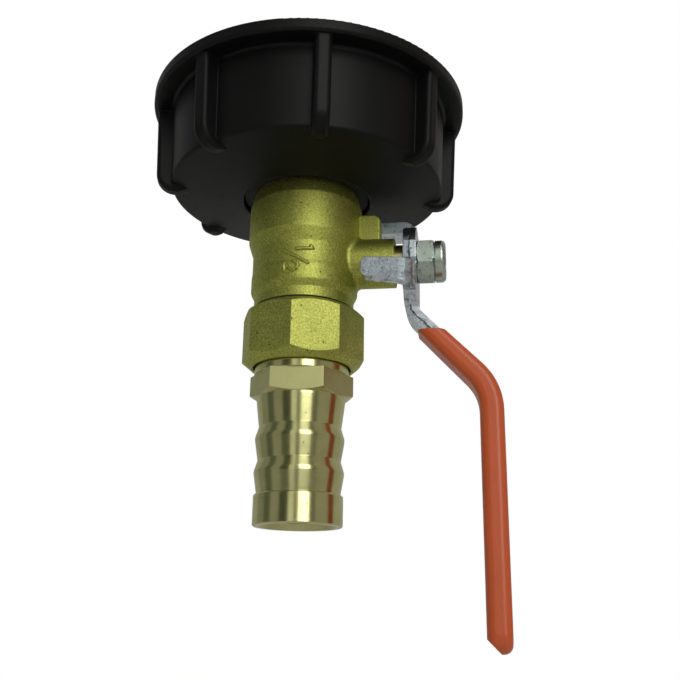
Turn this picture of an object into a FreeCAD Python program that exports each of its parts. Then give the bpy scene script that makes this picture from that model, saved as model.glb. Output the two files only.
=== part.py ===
import FreeCAD, Part
import Sketcher

import math
import os
import re

# An IBC tank valve: a coarse-threaded container cap that carries a brass lever ball valve,
# which ends in a barbed hose tail. Z is the flow axis, with the cap on top and its mouth at
# z = 0, and X is the axis of the stem. Lengths are in millimetres and angles in degrees.

SIZES = {
    # Cap, from its mouth down
    "cap_rim_radius": 39.0,
    "cap_rim_height": 3.0,
    "cap_depth": 23.1,
    "cap_wall_radius": 34.1,
    "cap_wall_draft": 0.75,
    "cap_crown_drop": 2.3,
    "cap_floor": 3.5,
    "cap_edge": 0.8,
    "cap_rim_edge": 0.3,
    # Coarse thread of the cap
    "mouth_bore_radius": 30.8,
    "mouth_bore_depth": 3.2,
    "thread_root_radius": 30.2,
    "thread_depth": 2.2,
    "thread_pitch": 6.0,
    "thread_base": 3.4,
    "thread_crest": 1.2,
    "thread_rise": 9.8,
    # Grip ribs of the cap
    "rib_width": 3.8,
    "rib_top_radius": 38.0,
    "rib_foot_radius": 36.9,
    "rib_drop": 1.5,
    "rib_corner": 4.6,
    "rib_end_radius": 28.5,
    "rib_edge": 1.1,
    "rib_turn": 14.9,
    # Threaded boss and washer seat in the cap's floor
    "recess_radius": 15.6,
    "recess_depth": 2.8,
    "boss_radius": 14.0,
    "boss_height": 8.0,
    "washer_radius": 15.3,
    "washer_thickness": 1.5,
    "gasket_bore": 22.0,
    "gasket_thickness": 3.0,
    "gasket_gap": 0.3,
    # Half-inch pipe thread, the same at both ends of the valve
    "pipe_thread_radius": 10.4,
    "pipe_thread_gap": 0.05,
    "inlet_standout": 0.5,
    "waterway_radius": 6.5,
    "port_radius": 7.5,
    # Valve body, along the flow axis from the stem
    "shoulder_height": 17.9,
    "shoulder_radius": 12.6,
    "crown_radius": 12.9,
    "crown_lip": 0.7,
    "crown_taper": 3.3,
    "body_radius": 13.75,
    "band_height": 5.1,
    "waist_radius": 12.6,
    "waist_height": 1.7,
    "base_radius": 12.75,
    "base_top": 4.0,
    "base_drop": 7.6,
    "joint_radius": 11.9,
    "joint_taper": 1.6,
    "body_drop": 11.5,
    "body_blend": 1.6,
    # Neck of the body and its stop lug
    "neck_radius": 5.95,
    "neck_reach": 22.0,
    "neck_fillet": 1.25,
    "lug_reach": 18.55,
    "lug_height": 12.1,
    "lug_width": 4.7,
    "lug_round": 1.8,
    "lug_edge": 0.5,
    # Ball and seats
    "ball_radius": 10.2,
    "ball_gap": 0.05,
    "chamber_radius": 10.45,
    "chamber_reach": 6.0,
    "seat_radius": 9.4,
    "seat_gap": 0.05,
    "seat_face": 5.2,
    "seat_back": 9.3,
    "slot_floor": 7.7,
    "tang_gap": 0.15,
    # Octagonal end piece
    "seal_thickness": 0.4,
    "octagon_flats": 26.9,
    "octagon_length": 14.2,
    "octagon_top_radius": 12.0,
    "octagon_top_chamfer": 1.75,
    "octagon_foot_radius": 12.1,
    "octagon_foot_chamfer": 2.1,
    "spigot_radius": 10.4,
    "spigot_lip": 6.3,
    "mouth_recess_radius": 11.5,
    "mouth_recess_depth": 2.4,
    "outlet_thread_depth": 9.1,
    # Stem, along X
    "flange_radius": 4.6,
    "flange_start": 10.9,
    "flange_end": 12.5,
    "flange_gap": 0.15,
    "tang_start": 7.9,
    "tang_width": 8.0,
    "tang_thickness": 4.6,
    "stem_radius": 3.4,
    "stem_gap": 0.05,
    "stem_thread_radius": 3.0,
    "stem_flats": 4.8,
    "stem_end": 33.5,
    "thrust_thickness": 0.65,
    "o_ring_place": 14.9,
    "o_ring_section": 0.84,
    "o_ring_gap": 0.04,
    "packing_start": 16.7,
    "packing_length": 2.2,
    "packing_radius": 4.3,
    "gland_end": 24.0,
    "gland_hub_gap": 0.3,
    # Lever plate
    "plate": 3.0,
    "hub_radius": 8.35,
    "hub_flat": 8.0,
    "hub_blend": 3.0,
    "hub_hole_gap": 0.1,
    "tab_reach": 12.3,
    "tab_face": 12.0,
    "tab_near": 2.65,
    "tab_far": 9.1,
    "tab_bend": 0.8,
    "tab_corner": 1.4,
    "front_tab_root": 3.0,
    "front_tab_top": 3.6,
    "front_tab_foot": 9.4,
    "front_tab_end_top": 2.9,
    "front_tab_end_foot": 7.4,
    "slit_width": 1.2,
    "slit_depth": 2.2,
    "hub_shoulder": 8.2,
    "hub_foot": 12.0,
    "arm_width": 7.8,
    "crank": 17.7,
    "crank_start": 13.25,
    "crank_drop": 18.35,
    "crank_bend": 6.0,
    "arm_bend": 12.5,
    "lever_length": 84.2,
    "lever_tip_round": 3.3,
    "lever_edge": 0.3,
    # Dipped grip on the lever
    "grip_width": 9.6,
    "grip_line": 18.1,
    "grip_coat_top": 0.8,
    "grip_coat_foot": 1.15,
    "grip_cover": 3.7,
    "grip_slant": 2.9,
    "grip_tip_flat": 2.4,
    "grip_tip_round": 4.2,
    "grip_edge": 1.9,
    # Lever nut
    "nut_flats": 10.0,
    "nut_turn": 20.0,
    "nut_height": 4.0,
    "nut_chamfer": 0.45,
    "nut_collar_radius": 5.0,
    "nut_collar_height": 2.7,
    "nut_collar_round": 1.1,
    "nut_thread_gap": 0.02,
    "insert_radius": 4.1,
    "insert_length": 2.0,
    # Hose tail, from its seat down
    "tail_washer_thickness": 1.2,
    "tail_thread_length": 9.0,
    "tail_flange_radius": 11.05,
    "tail_flange_height": 2.95,
    "tail_hex_flats": 20.9,
    "tail_hex_height": 5.4,
    "tail_hex_turn": 4.5,
    "tail_hex_edge": 0.9,
    "tail_root_radius": 10.25,
    "tail_root_drop": 0.55,
    "tail_groove_radius": 9.45,
    "tail_barb_radius": 10.28,
    "tail_barb_pitch": 7.6,
    "tail_barb_rise": 2.6,
    "tail_barb_round": 2.2,
    "tail_land_radius": 10.1,
    "tail_land_length": 6.9,
    "tail_land_round": 0.7,
    "tail_length": 37.25,
    "tail_bore": 7.75,
    "tail_mouth_radius": 8.65,
    "tail_mouth_depth": 1.5,
    "tail_mouth_edge": 0.25,
}
RIBS = 8
OCTAGON_SIDES = 8
HEXAGON_SIDES = 6
BARBS = 2

# Places and lengths worked out from the sizes, each in its sub-part's own frame
WORKED_OUT = {
    "cap_ceiling": "cap_depth - cap_floor",
    "recess_top": "cap_depth + cap_crown_drop - recess_depth",
    "shoulder_drop": "recess_top + washer_thickness",
    "stem_drop": "shoulder_drop + shoulder_height",
    "thread_length": "shoulder_drop - cap_ceiling + boss_height + inlet_standout",
    "boss_bore": "pipe_thread_radius + pipe_thread_gap",
    "head_top": "shoulder_height - crown_lip - crown_taper",
    "seat_pocket": "seat_radius + seat_gap",
    "neck_bore": "stem_radius + stem_gap * 2",
    "packing_bore": "packing_radius + stem_gap",
    "counterbore": "flange_radius + flange_gap",
    "thrust_end": "flange_end + stem_gap + thrust_thickness",
    "octagon_top": "body_drop + seal_thickness",
    "octagon_corner": "octagon_flats / 2 / cos(180 / 8)",
    "octagon_bottom": "octagon_top + octagon_length",
    "tail_seat": "octagon_bottom - mouth_recess_depth + tail_washer_thickness",
    "hub_face": "gland_end + gland_hub_gap",
    "hub_outside": "hub_face + plate",
    "hub_middle": "hub_face + plate / 2",
    "arm_middle": "hub_middle + crank",
    "crank_angle": "atan(crank / crank_drop)",
    "crank_end": "crank_start + crank_drop",
    "nut_end": "hub_outside + nut_height",
    "nut_corner": "nut_flats / 2 / cos(180 / 6)",
    "tail_hex_corner": "tail_hex_flats / 2 / cos(180 / 6)",
    "tail_hex_top": "tail_flange_height",
    "tail_hex_bottom": "tail_flange_height + tail_hex_height",
}

SHEET = "Sizes"
AXIS_PLANES = {"XY": "XY_Plane", "XZ": "XZ_Plane", "YZ": "YZ_Plane"}

doc = FreeCAD.newDocument("IbcTankValve")
sheet = doc.addObject("Spreadsheet::Sheet", SHEET)
for row, (name, size) in enumerate(SIZES.items(), start=1):
    sheet.set(f"A{row}", name)
    sheet.set(f"B{row}", str(size))
    sheet.setAlias(f"B{row}", name)
doc.recompute()

PARTS = {}


# ---------------------------------------------------------------- expressions

def bound(text):
    """The expression with every size read from the sheet and every worked-out name spelt out."""
    def spelt_out(found):
        word = found.group(0)
        if word in SIZES:
            return f"{SHEET}.{word}"
        if word in WORKED_OUT:
            return f"({bound(WORKED_OUT[word])})"
        return word
    return re.sub(r"[a-z_]+[a-z_0-9]*", spelt_out, str(text))


def value(text):
    """The number that an expression gives now."""
    found = sheet.evalExpression(bound(text))
    return float(getattr(found, "Value", found))


def bind(thing, **properties):
    """Set properties of an object from expressions; a double underscore stands for a dot."""
    for name, text in properties.items():
        thing.setExpression(name.replace("__", "."), bound(text))
    return thing


# ---------------------------------------------------------------- sketches

def corner_arc(before, corner, after, radius):
    """Where an arc of this radius leaves and meets the two straight edges at a corner."""
    back = (before - corner).normalize()
    ahead = (after - corner).normalize()
    half = back.getAngle(ahead) / 2
    run = radius / math.tan(half)
    middle = corner + (back + ahead).normalize() * (radius / math.sin(half))
    return corner + back * run, corner + ahead * run, middle


def closed_outline(sketch, outline):
    """Draw a closed outline of straight edges, with its corners and their radii bound.

    Each corner is (across, up) or (across, up, radius). A rounded corner keeps its sharp
    point as a construction point on both edges, and that point holds the dimensions.
    """
    corners = [FreeCAD.Vector(value(c[0]), value(c[1]), 0) for c in outline]
    radii = [c[2] if len(c) > 2 else None for c in outline]
    count = len(corners)
    starts, ends, middles = [], [], []
    for i, corner in enumerate(corners):
        if radii[i] is None:
            ends.append(corner)
            starts.append(corner)
            middles.append(None)
            continue
        leave, meet, middle = corner_arc(
            corners[i - 1], corner, corners[(i + 1) % count], value(radii[i]))
        ends.append(leave)
        starts.append(meet)
        middles.append(middle)
    edges = []
    for i in range(count):
        edge = Part.LineSegment(starts[i], ends[(i + 1) % count])
        edges.append(sketch.addGeometry(edge, False))
    for i, (across, up) in enumerate(c[:2] for c in outline):
        before, after = edges[i - 1], edges[i]
        if radii[i] is None:
            sketch.addConstraint(Sketcher.Constraint("Coincident", before, 2, after, 1))
            hold_point(sketch, after, 1, across, up)
            continue
        first, last = ends[i] - middles[i], starts[i] - middles[i]
        left_turn = first.cross(last).z > 0
        low, high = (first, last) if left_turn else (last, first)
        circle = Part.Circle(middles[i], FreeCAD.Vector(0, 0, 1), first.Length)
        low_angle, high_angle = math.atan2(low.y, low.x), math.atan2(high.y, high.x)
        arc = sketch.addGeometry(Part.ArcOfCircle(circle, low_angle, high_angle), False)
        arc_in, arc_out = (1, 2) if left_turn else (2, 1)
        sketch.addConstraint(Sketcher.Constraint("Tangent", before, 2, arc, arc_in))
        sketch.addConstraint(Sketcher.Constraint("Tangent", arc, arc_out, after, 1))
        hold(sketch, Sketcher.Constraint("Radius", arc, first.Length), radii[i])
        sharp = sketch.addGeometry(Part.Point(corners[i]), True)
        sketch.addConstraint(Sketcher.Constraint("PointOnObject", sharp, 1, before))
        sketch.addConstraint(Sketcher.Constraint("PointOnObject", sharp, 1, after))
        hold_point(sketch, sharp, 1, across, up)


def hold(sketch, constraint, text):
    """Add a dimension and bind it to its expression."""
    index = sketch.addConstraint(constraint)
    sketch.setExpression(f"Constraints[{index}]", bound(text))


def hold_point(sketch, edge, end, across, up):
    """Hold one point of a sketch at its two bound coordinates."""
    for kind, text in (("DistanceX", across), ("DistanceY", up)):
        hold(sketch, Sketcher.Constraint(kind, edge, end, value(text)), text)


def circle_outline(sketch, radius, across="0", up="0"):
    """Draw a circle with its radius and centre bound."""
    centre = FreeCAD.Vector(value(across), value(up), 0)
    circle = Part.Circle(centre, FreeCAD.Vector(0, 0, 1), value(radius))
    drawn = sketch.addGeometry(circle, False)
    hold(sketch, Sketcher.Constraint("Radius", drawn, value(radius)), radius)
    hold_point(sketch, drawn, 3, across, up)


def new_sketch(body, name, plane, offset="0"):
    """A sketch on one of its body's origin planes, moved along that plane's normal."""
    sketch = body.newObject("Sketcher::SketchObject", name)
    role = AXIS_PLANES[plane]
    origin_plane = [f for f in body.Origin.OriginFeatures if f.Role == role][0]
    sketch.AttachmentSupport = [(origin_plane, "")]
    sketch.MapMode = "FlatFace"
    bind(sketch, AttachmentOffset__Base__z=offset)
    return sketch


# ---------------------------------------------------------------- features

def new_body(label, keep=True, **placement):
    """A body in its own frame, at a bound place; keep=True makes it a sub-part."""
    body = doc.addObject("PartDesign::Body", label)
    body.Label = label
    bind(body, **placement)
    if keep:
        PARTS[label] = body
    return body


def next_name(body, word):
    """A name for the next feature of a body."""
    return f"{body.Name}_{word}{len(body.Group)}"


def turned(body, outline, cut=False, about="V_Axis", plane="XZ"):
    """Turn a closed outline about a sketch axis, to add material or to cut it away."""
    kind = "Groove" if cut else "Revolution"
    sketch = new_sketch(body, next_name(body, "Section"), plane)
    closed_outline(sketch, outline)
    feature = body.newObject(f"PartDesign::{kind}", next_name(body, kind))
    feature.Profile = sketch
    feature.ReferenceAxis = (sketch, [about])
    feature.Angle = 360
    return feature


def padded(body, plane, outline, length, start="0", both_ways=False, cut=False, round_radius=None):
    """Push a closed outline, or a circle, along its plane's normal, to add or to cut."""
    kind = "Pocket" if cut else "Pad"
    sketch = new_sketch(body, next_name(body, "Outline"), plane, start)
    if round_radius is None:
        closed_outline(sketch, outline)
    else:
        circle_outline(sketch, round_radius, *outline)
    feature = body.newObject(f"PartDesign::{kind}", next_name(body, kind))
    feature.Profile = sketch
    feature.Reversed = cut and not both_ways
    if both_ways:
        feature.SideType = "Symmetric"
    bind(feature, Length=length)
    return feature


def rounded(body, radius, picked):
    """Fillet the edges of a body's newest feature that a test picks, if there are any."""
    doc.recompute()
    tip = body.Tip
    names = [f"Edge{i}" for i, edge in enumerate(tip.Shape.Edges, start=1) if picked(edge)]
    feature = body.newObject("PartDesign::Fillet", next_name(body, "Fillet"))
    feature.Base = (tip, names)
    bind(feature, Radius=radius)
    return feature


def ring(label, inner, outer, low, high, **placement):
    """A plain turned ring about Z."""
    body = new_body(label, **placement)
    turned(body, [(inner, low), (outer, low), (outer, high), (inner, high)])
    return body


def sleeve(label, inner, outer, start, end, **placement):
    """A plain turned ring about X."""
    body = new_body(label, **placement)
    turned(body, [(start, inner), (end, inner), (end, outer), (start, outer)], about="H_Axis")
    return body


def polygon(corner, count, turn="0"):
    """The corners of a regular polygon."""
    step = 360 / count
    return [(f"({corner}) * cos({i * step} + {turn})", f"({corner}) * sin({i * step} + {turn})")
            for i in range(count)]


def primitive(kind, label, keep=False, **properties):
    """A Part primitive or boolean with bound properties."""
    thing = doc.addObject(f"Part::{kind}", label)
    thing.Label = label
    bind(thing, **properties)
    if keep:
        PARTS[label] = thing
    return thing


def cut_away(label, base, tool):
    """A sub-part that is one object with another taken away; the tool keeps its own place."""
    result = primitive("Cut", label, keep=True)
    result.Base = base
    result.Tool = tool
    return result


AT_STEM = {"Placement__Base__z": "-stem_drop"}


# ---------------------------------------------------------------- cap

def make_cap():
    """The black container cap: shell with its coarse thread, and eight grip ribs."""
    shell = new_body("cap_turned_shell", keep=False)
    turned(shell, [
        ("mouth_bore_radius", "0"),
        ("cap_rim_radius", "0", "cap_rim_edge"),
        ("cap_rim_radius", "-cap_rim_height", "cap_edge"),
        ("cap_wall_radius", "-cap_rim_height", "cap_edge"),
        ("cap_wall_radius - cap_wall_draft", "-cap_depth", "cap_edge"),
        ("recess_radius", "-cap_depth - cap_crown_drop", "cap_edge / 2"),
        ("recess_radius", "-recess_top"),
        ("boss_bore", "-recess_top"),
        ("boss_bore", "boss_height - cap_ceiling"),
        ("boss_radius", "boss_height - cap_ceiling", "cap_edge"),
        ("boss_radius", "-cap_ceiling", "cap_edge"),
        ("thread_root_radius", "-cap_ceiling"),
        ("thread_root_radius", "-mouth_bore_depth"),
        ("mouth_bore_radius", "-mouth_bore_depth"),
    ])
    ridge_start = "-mouth_bore_depth - thread_base - thread_rise"
    ridge = new_sketch(shell, next_name(shell, "Ridge"), "XZ")
    overlap = "0.4"
    closed_outline(ridge, [
        (f"thread_root_radius + {overlap}", ridge_start),
        (f"thread_root_radius + {overlap}", f"{ridge_start} + thread_base"),
        ("thread_root_radius", f"{ridge_start} + thread_base"),
        ("thread_root_radius - thread_depth", f"{ridge_start} + thread_base * 0.4 + thread_crest"),
        ("thread_root_radius - thread_depth", f"{ridge_start} + thread_base * 0.4"),
        ("thread_root_radius", ridge_start),
    ])
    thread = shell.newObject("PartDesign::AdditiveHelix", next_name(shell, "Thread"))
    thread.Profile = ridge
    thread.ReferenceAxis = (ridge, ["V_Axis"])
    thread.Mode = "pitch-height-angle"
    bind(thread, Pitch="thread_pitch", Height="thread_rise")
    ribs = [make_rib(i) for i in range(RIBS)]
    cap = primitive("MultiFuse", "cap_shell", keep=True)
    cap.Shapes = [shell] + ribs
    cap.Refine = False
    ring("cap_gasket", "gasket_bore", "thread_root_radius - gasket_gap",
         "-cap_ceiling", "gasket_thickness - cap_ceiling")
    ring("shoulder_washer", "boss_bore", "washer_radius", "-shoulder_drop", "-recess_top")


def make_rib(index):
    """One grip rib: a rounded fin that runs down the wall and wraps under the cap."""
    rib = new_body(f"cap_rib_{index + 1}", keep=False)
    rib.Placement.Rotation = FreeCAD.Rotation(FreeCAD.Vector(0, 0, 1), 0)
    bind(rib, Placement__Rotation__Angle=f"rib_turn + {index * 360 / RIBS}")
    buried = "cap_wall_radius - cap_wall_draft - 1.2"
    padded(rib, "XZ", [
        (buried, "-cap_rim_height + 0.5"),
        ("rib_top_radius", "-cap_rim_height + 0.5"),
        ("rib_foot_radius", "-cap_depth - rib_drop", "rib_corner"),
        ("rib_foot_radius - rib_corner - 0.8", "-cap_depth - rib_drop", "rib_edge"),
        ("rib_end_radius", "-cap_depth - 0.3"),
        ("rib_end_radius", "-cap_depth + 1"),
        (buried, "-cap_depth + 1"),
    ], "rib_width", both_ways=True)
    inside = value(buried) + 0.1
    buried_top = -value("cap_rim_height")
    floor = -value("cap_depth")

    def outer_edge(edge):
        box = edge.BoundBox
        on_side = box.YLength < 0.01
        middle = edge.valueAt((edge.FirstParameter + edge.LastParameter) / 2)
        outside = middle.x > inside or middle.z < floor
        return on_side and outside and middle.z < buried_top

    rounded(rib, "rib_edge", outer_edge)
    return rib


# ---------------------------------------------------------------- valve

def make_body():
    """The forged brass body: threaded inlet, round barrel, stem neck and stop lug."""
    body = new_body("valve_body", **AT_STEM)
    turned(body, [
        ("0", "shoulder_height + thread_length"),
        ("pipe_thread_radius - 0.8", "shoulder_height + thread_length"),
        ("pipe_thread_radius", "shoulder_height + thread_length - 0.8"),
        ("pipe_thread_radius", "shoulder_height"),
        ("shoulder_radius", "shoulder_height"),
        ("crown_radius", "shoulder_height - crown_lip"),
        ("body_radius", "head_top", "body_blend"),
        ("body_radius", "band_height", "body_blend"),
        ("waist_radius", "waist_height", "body_blend"),
        ("waist_radius", "-base_top + 1"),
        ("base_radius", "-base_top", "body_blend"),
        ("base_radius", "-base_drop", "body_blend"),
        ("joint_radius", "-base_drop - joint_taper"),
        ("joint_radius", "-body_drop"),
        ("0", "-body_drop"),
    ])
    padded(body, "YZ", ("0", "0"), "neck_reach", round_radius="neck_radius")
    neck, neck_end = value("neck_radius"), value("neck_reach")

    def neck_root(edge):
        marks = [edge.valueAt(edge.FirstParameter + share * (edge.LastParameter - edge.FirstParameter))
                 for share in (0.1, 0.5, 0.9)]
        on_neck = all(abs(math.hypot(mark.y, mark.z) - neck) < 0.01 for mark in marks)
        return on_neck and max(mark.x for mark in marks) < neck_end - 2

    rounded(body, "neck_fillet", neck_root)
    padded(body, "XZ", [
        ("body_radius - 2", "0"),
        ("lug_reach", "0"),
        ("lug_reach", "lug_height", "lug_round"),
        ("body_radius - 2", "lug_height"),
    ], "lug_width", both_ways=True)
    body_side = value("body_radius")
    neck_top = value("neck_radius")

    def lug_edge(edge):
        box = edge.BoundBox
        middle = edge.valueAt((edge.FirstParameter + edge.LastParameter) / 2)
        flat = box.YLength < 0.01 and box.XLength + box.ZLength > 0.5
        return flat and middle.x > body_side + 0.2 and middle.z > neck_top + 0.3

    rounded(body, "lug_edge", lug_edge)
    turned(body, [
        ("0", "-body_drop - 1"),
        ("chamber_radius", "-body_drop - 1"),
        ("chamber_radius", "chamber_reach"),
        ("seat_pocket", "chamber_reach"),
        ("seat_pocket", "seat_back"),
        ("waterway_radius", "seat_back"),
        ("waterway_radius", "shoulder_height"),
        ("port_radius", "shoulder_height + 1.7"),
        ("port_radius", "shoulder_height + thread_length + 1"),
        ("0", "shoulder_height + thread_length + 1"),
    ], cut=True)
    turned(body, [
        ("5", "0"),
        ("neck_reach + 1", "0"),
        ("neck_reach + 1", "packing_bore"),
        ("packing_start", "packing_bore"),
        ("packing_start", "neck_bore"),
        ("thrust_end", "neck_bore"),
        ("thrust_end", "counterbore"),
        ("5", "counterbore"),
    ], cut=True, about="H_Axis")


def make_end_piece():
    """The octagonal end piece that closes the body and takes the hose tail."""
    end = new_body("end_piece", **AT_STEM)
    padded(end, "XY", polygon("octagon_corner", OCTAGON_SIDES), "octagon_length",
           start="-octagon_bottom")
    for radius, height, chamfer in (
            ("octagon_top_radius", "-octagon_top", "-octagon_top_chamfer"),
            ("octagon_foot_radius", "-octagon_bottom", "octagon_foot_chamfer")):
        beyond = "octagon_corner + 0.2"
        slope = f"({chamfer}) / (octagon_corner - {radius})"
        turned(end, [
            (radius, height),
            (beyond, f"{height} + ({slope}) * ({beyond} - {radius})"),
            (beyond, f"{height} - 0.1 * ({slope})"),
            (radius, f"{height} - 0.1 * ({slope})"),
        ], cut=True)
    turned(end, [
        ("0", "-octagon_top - 1"),
        ("spigot_radius", "-octagon_top - 1"),
        ("spigot_radius", "-spigot_lip"),
        ("0", "-spigot_lip"),
    ])
    turned(end, [
        ("0", "-spigot_lip + 1"),
        ("seat_pocket", "-spigot_lip + 1"),
        ("seat_pocket", "-seat_back"),
        ("waterway_radius", "-seat_back"),
        ("waterway_radius", "outlet_thread_depth + mouth_recess_depth + 0.8 - octagon_bottom"),
        ("boss_bore", "outlet_thread_depth + mouth_recess_depth - octagon_bottom"),
        ("boss_bore", "mouth_recess_depth - octagon_bottom"),
        ("mouth_recess_radius", "mouth_recess_depth - octagon_bottom"),
        ("mouth_recess_radius", "-octagon_bottom - 1"),
        ("0", "-octagon_bottom - 1"),
    ], cut=True)
    ring("body_seal", "spigot_radius + pipe_thread_gap", "joint_radius - 0.2",
         "-octagon_top", "-body_drop", **AT_STEM)


def make_ball():
    """The chromed ball with its bore and stem slot, and the two seats that hold it."""
    sphere = primitive("Sphere", "ball_sphere", Radius="ball_radius", **AT_STEM)
    bore = primitive("Cylinder", "ball_bore", Radius="waterway_radius", Height="4 * ball_radius",
                     Placement__Base__z="-stem_drop - 2 * ball_radius")
    slot = primitive("Box", "ball_slot", Length="ball_radius", Width="4 * ball_radius",
                     Height="tang_thickness + 2 * tang_gap",
                     Placement__Base__x="slot_floor", Placement__Base__y="-2 * ball_radius",
                     Placement__Base__z="-stem_drop - tang_thickness / 2 - tang_gap")
    hollow = primitive("MultiFuse", "ball_hollow")
    hollow.Shapes = [bore, slot]
    cut_away("ball", sphere, hollow)
    room = primitive("Sphere", "ball_room", Radius="ball_radius + ball_gap", **AT_STEM)
    for label, low, high in (("inlet_seat", "seat_face", "seat_back"),
                             ("outlet_seat", "-seat_back", "-seat_face")):
        blank = ring(f"{label}_blank", "waterway_radius", "seat_radius", low, high, **AT_STEM)
        del PARTS[f"{label}_blank"]
        cut_away(label, blank, room)


def make_stem():
    """The blow-out-proof stem, its washer, O-ring and packing, and the gland that holds them."""
    stem = new_body("stem", **AT_STEM)
    groove = "(o_ring_section / 2 + o_ring_gap)"
    groove_floor = "stem_radius + stem_gap - o_ring_section - o_ring_gap"
    turned(stem, [
        ("flange_start", "0"),
        ("flange_start", "flange_radius"),
        ("flange_end", "flange_radius"),
        ("flange_end", "stem_radius"),
        (f"o_ring_place - {groove}", "stem_radius"),
        (f"o_ring_place - {groove}", groove_floor),
        (f"o_ring_place + {groove}", groove_floor),
        (f"o_ring_place + {groove}", "stem_radius"),
        ("hub_face", "stem_radius"),
        ("hub_face", "stem_thread_radius"),
        ("stem_end - 0.5", "stem_thread_radius"),
        ("stem_end", "stem_thread_radius - 0.5"),
        ("stem_end", "0"),
    ], about="H_Axis")
    padded(stem, "XZ", [
        ("tang_start", "-tang_thickness / 2"),
        ("flange_start + 0.5", "-tang_thickness / 2"),
        ("flange_start + 0.5", "tang_thickness / 2"),
        ("tang_start", "tang_thickness / 2"),
    ], "tang_width", both_ways=True)
    for side in ("1", "-1"):
        padded(stem, "XZ", [
            ("hub_face", f"{side} * stem_flats / 2"),
            ("stem_end + 1", f"{side} * stem_flats / 2"),
            ("stem_end + 1", f"{side} * 2 * stem_thread_radius"),
            ("hub_face", f"{side} * 2 * stem_thread_radius"),
        ], "4 * stem_thread_radius", both_ways=True, cut=True)
    primitive("Torus", "stem_o_ring", keep=True, Radius2="o_ring_section / 2",
              Radius1="stem_radius + stem_gap - o_ring_section / 2",
              Placement__Base__x="o_ring_place", Placement__Rotation__Angle="90", **AT_STEM)
    PARTS["stem_o_ring"].Placement.Rotation.Axis = FreeCAD.Vector(0, 1, 0)
    running = "stem_radius + stem_gap"
    sleeve("thrust_washer", running, "flange_radius", "flange_end + stem_gap", "thrust_end",
           **AT_STEM)
    sleeve("stem_packing", running, "packing_radius", "packing_start",
           "packing_start + packing_length", **AT_STEM)
    sleeve("packing_gland", running, "packing_radius", "packing_start + packing_length",
           "gland_end", **AT_STEM)


# ---------------------------------------------------------------- lever

def crank_outline(half_top, half_foot, top, foot):
    """The side outline of the cranked lever, or of its grip, between two heights."""
    turn = "tan(crank_angle / 2)"
    return [
        (f"hub_middle + {half_top}", top),
        (f"hub_middle + {half_top}", f"-crank_start + ({half_top}) * {turn}",
         f"crank_bend - ({half_top})"),
        (f"arm_middle + {half_foot}", f"-crank_end + ({half_foot}) * {turn}",
         f"arm_bend + {half_foot}"),
        (f"arm_middle + {half_foot}", foot),
        (f"arm_middle - ({half_foot})", foot),
        (f"arm_middle - ({half_foot})", f"-crank_end - ({half_foot}) * {turn}",
         f"arm_bend - ({half_foot})"),
        (f"hub_middle - ({half_top})", f"-crank_start - ({half_top}) * {turn}",
         f"crank_bend + {half_top}"),
        (f"hub_middle - ({half_top})", top),
    ]


def along_x(edge, across=None, up=None):
    """Whether an edge runs along X, at the given places across and up if they are given."""
    box = edge.BoundBox
    straight = box.YLength < 0.01 and box.ZLength < 0.01 and box.XLength > 0.1
    here = across is None or abs(abs(box.YMin) - across) < 0.01
    level = up is None or abs(box.ZMin - up) < 0.01
    return straight and here and level


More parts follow.
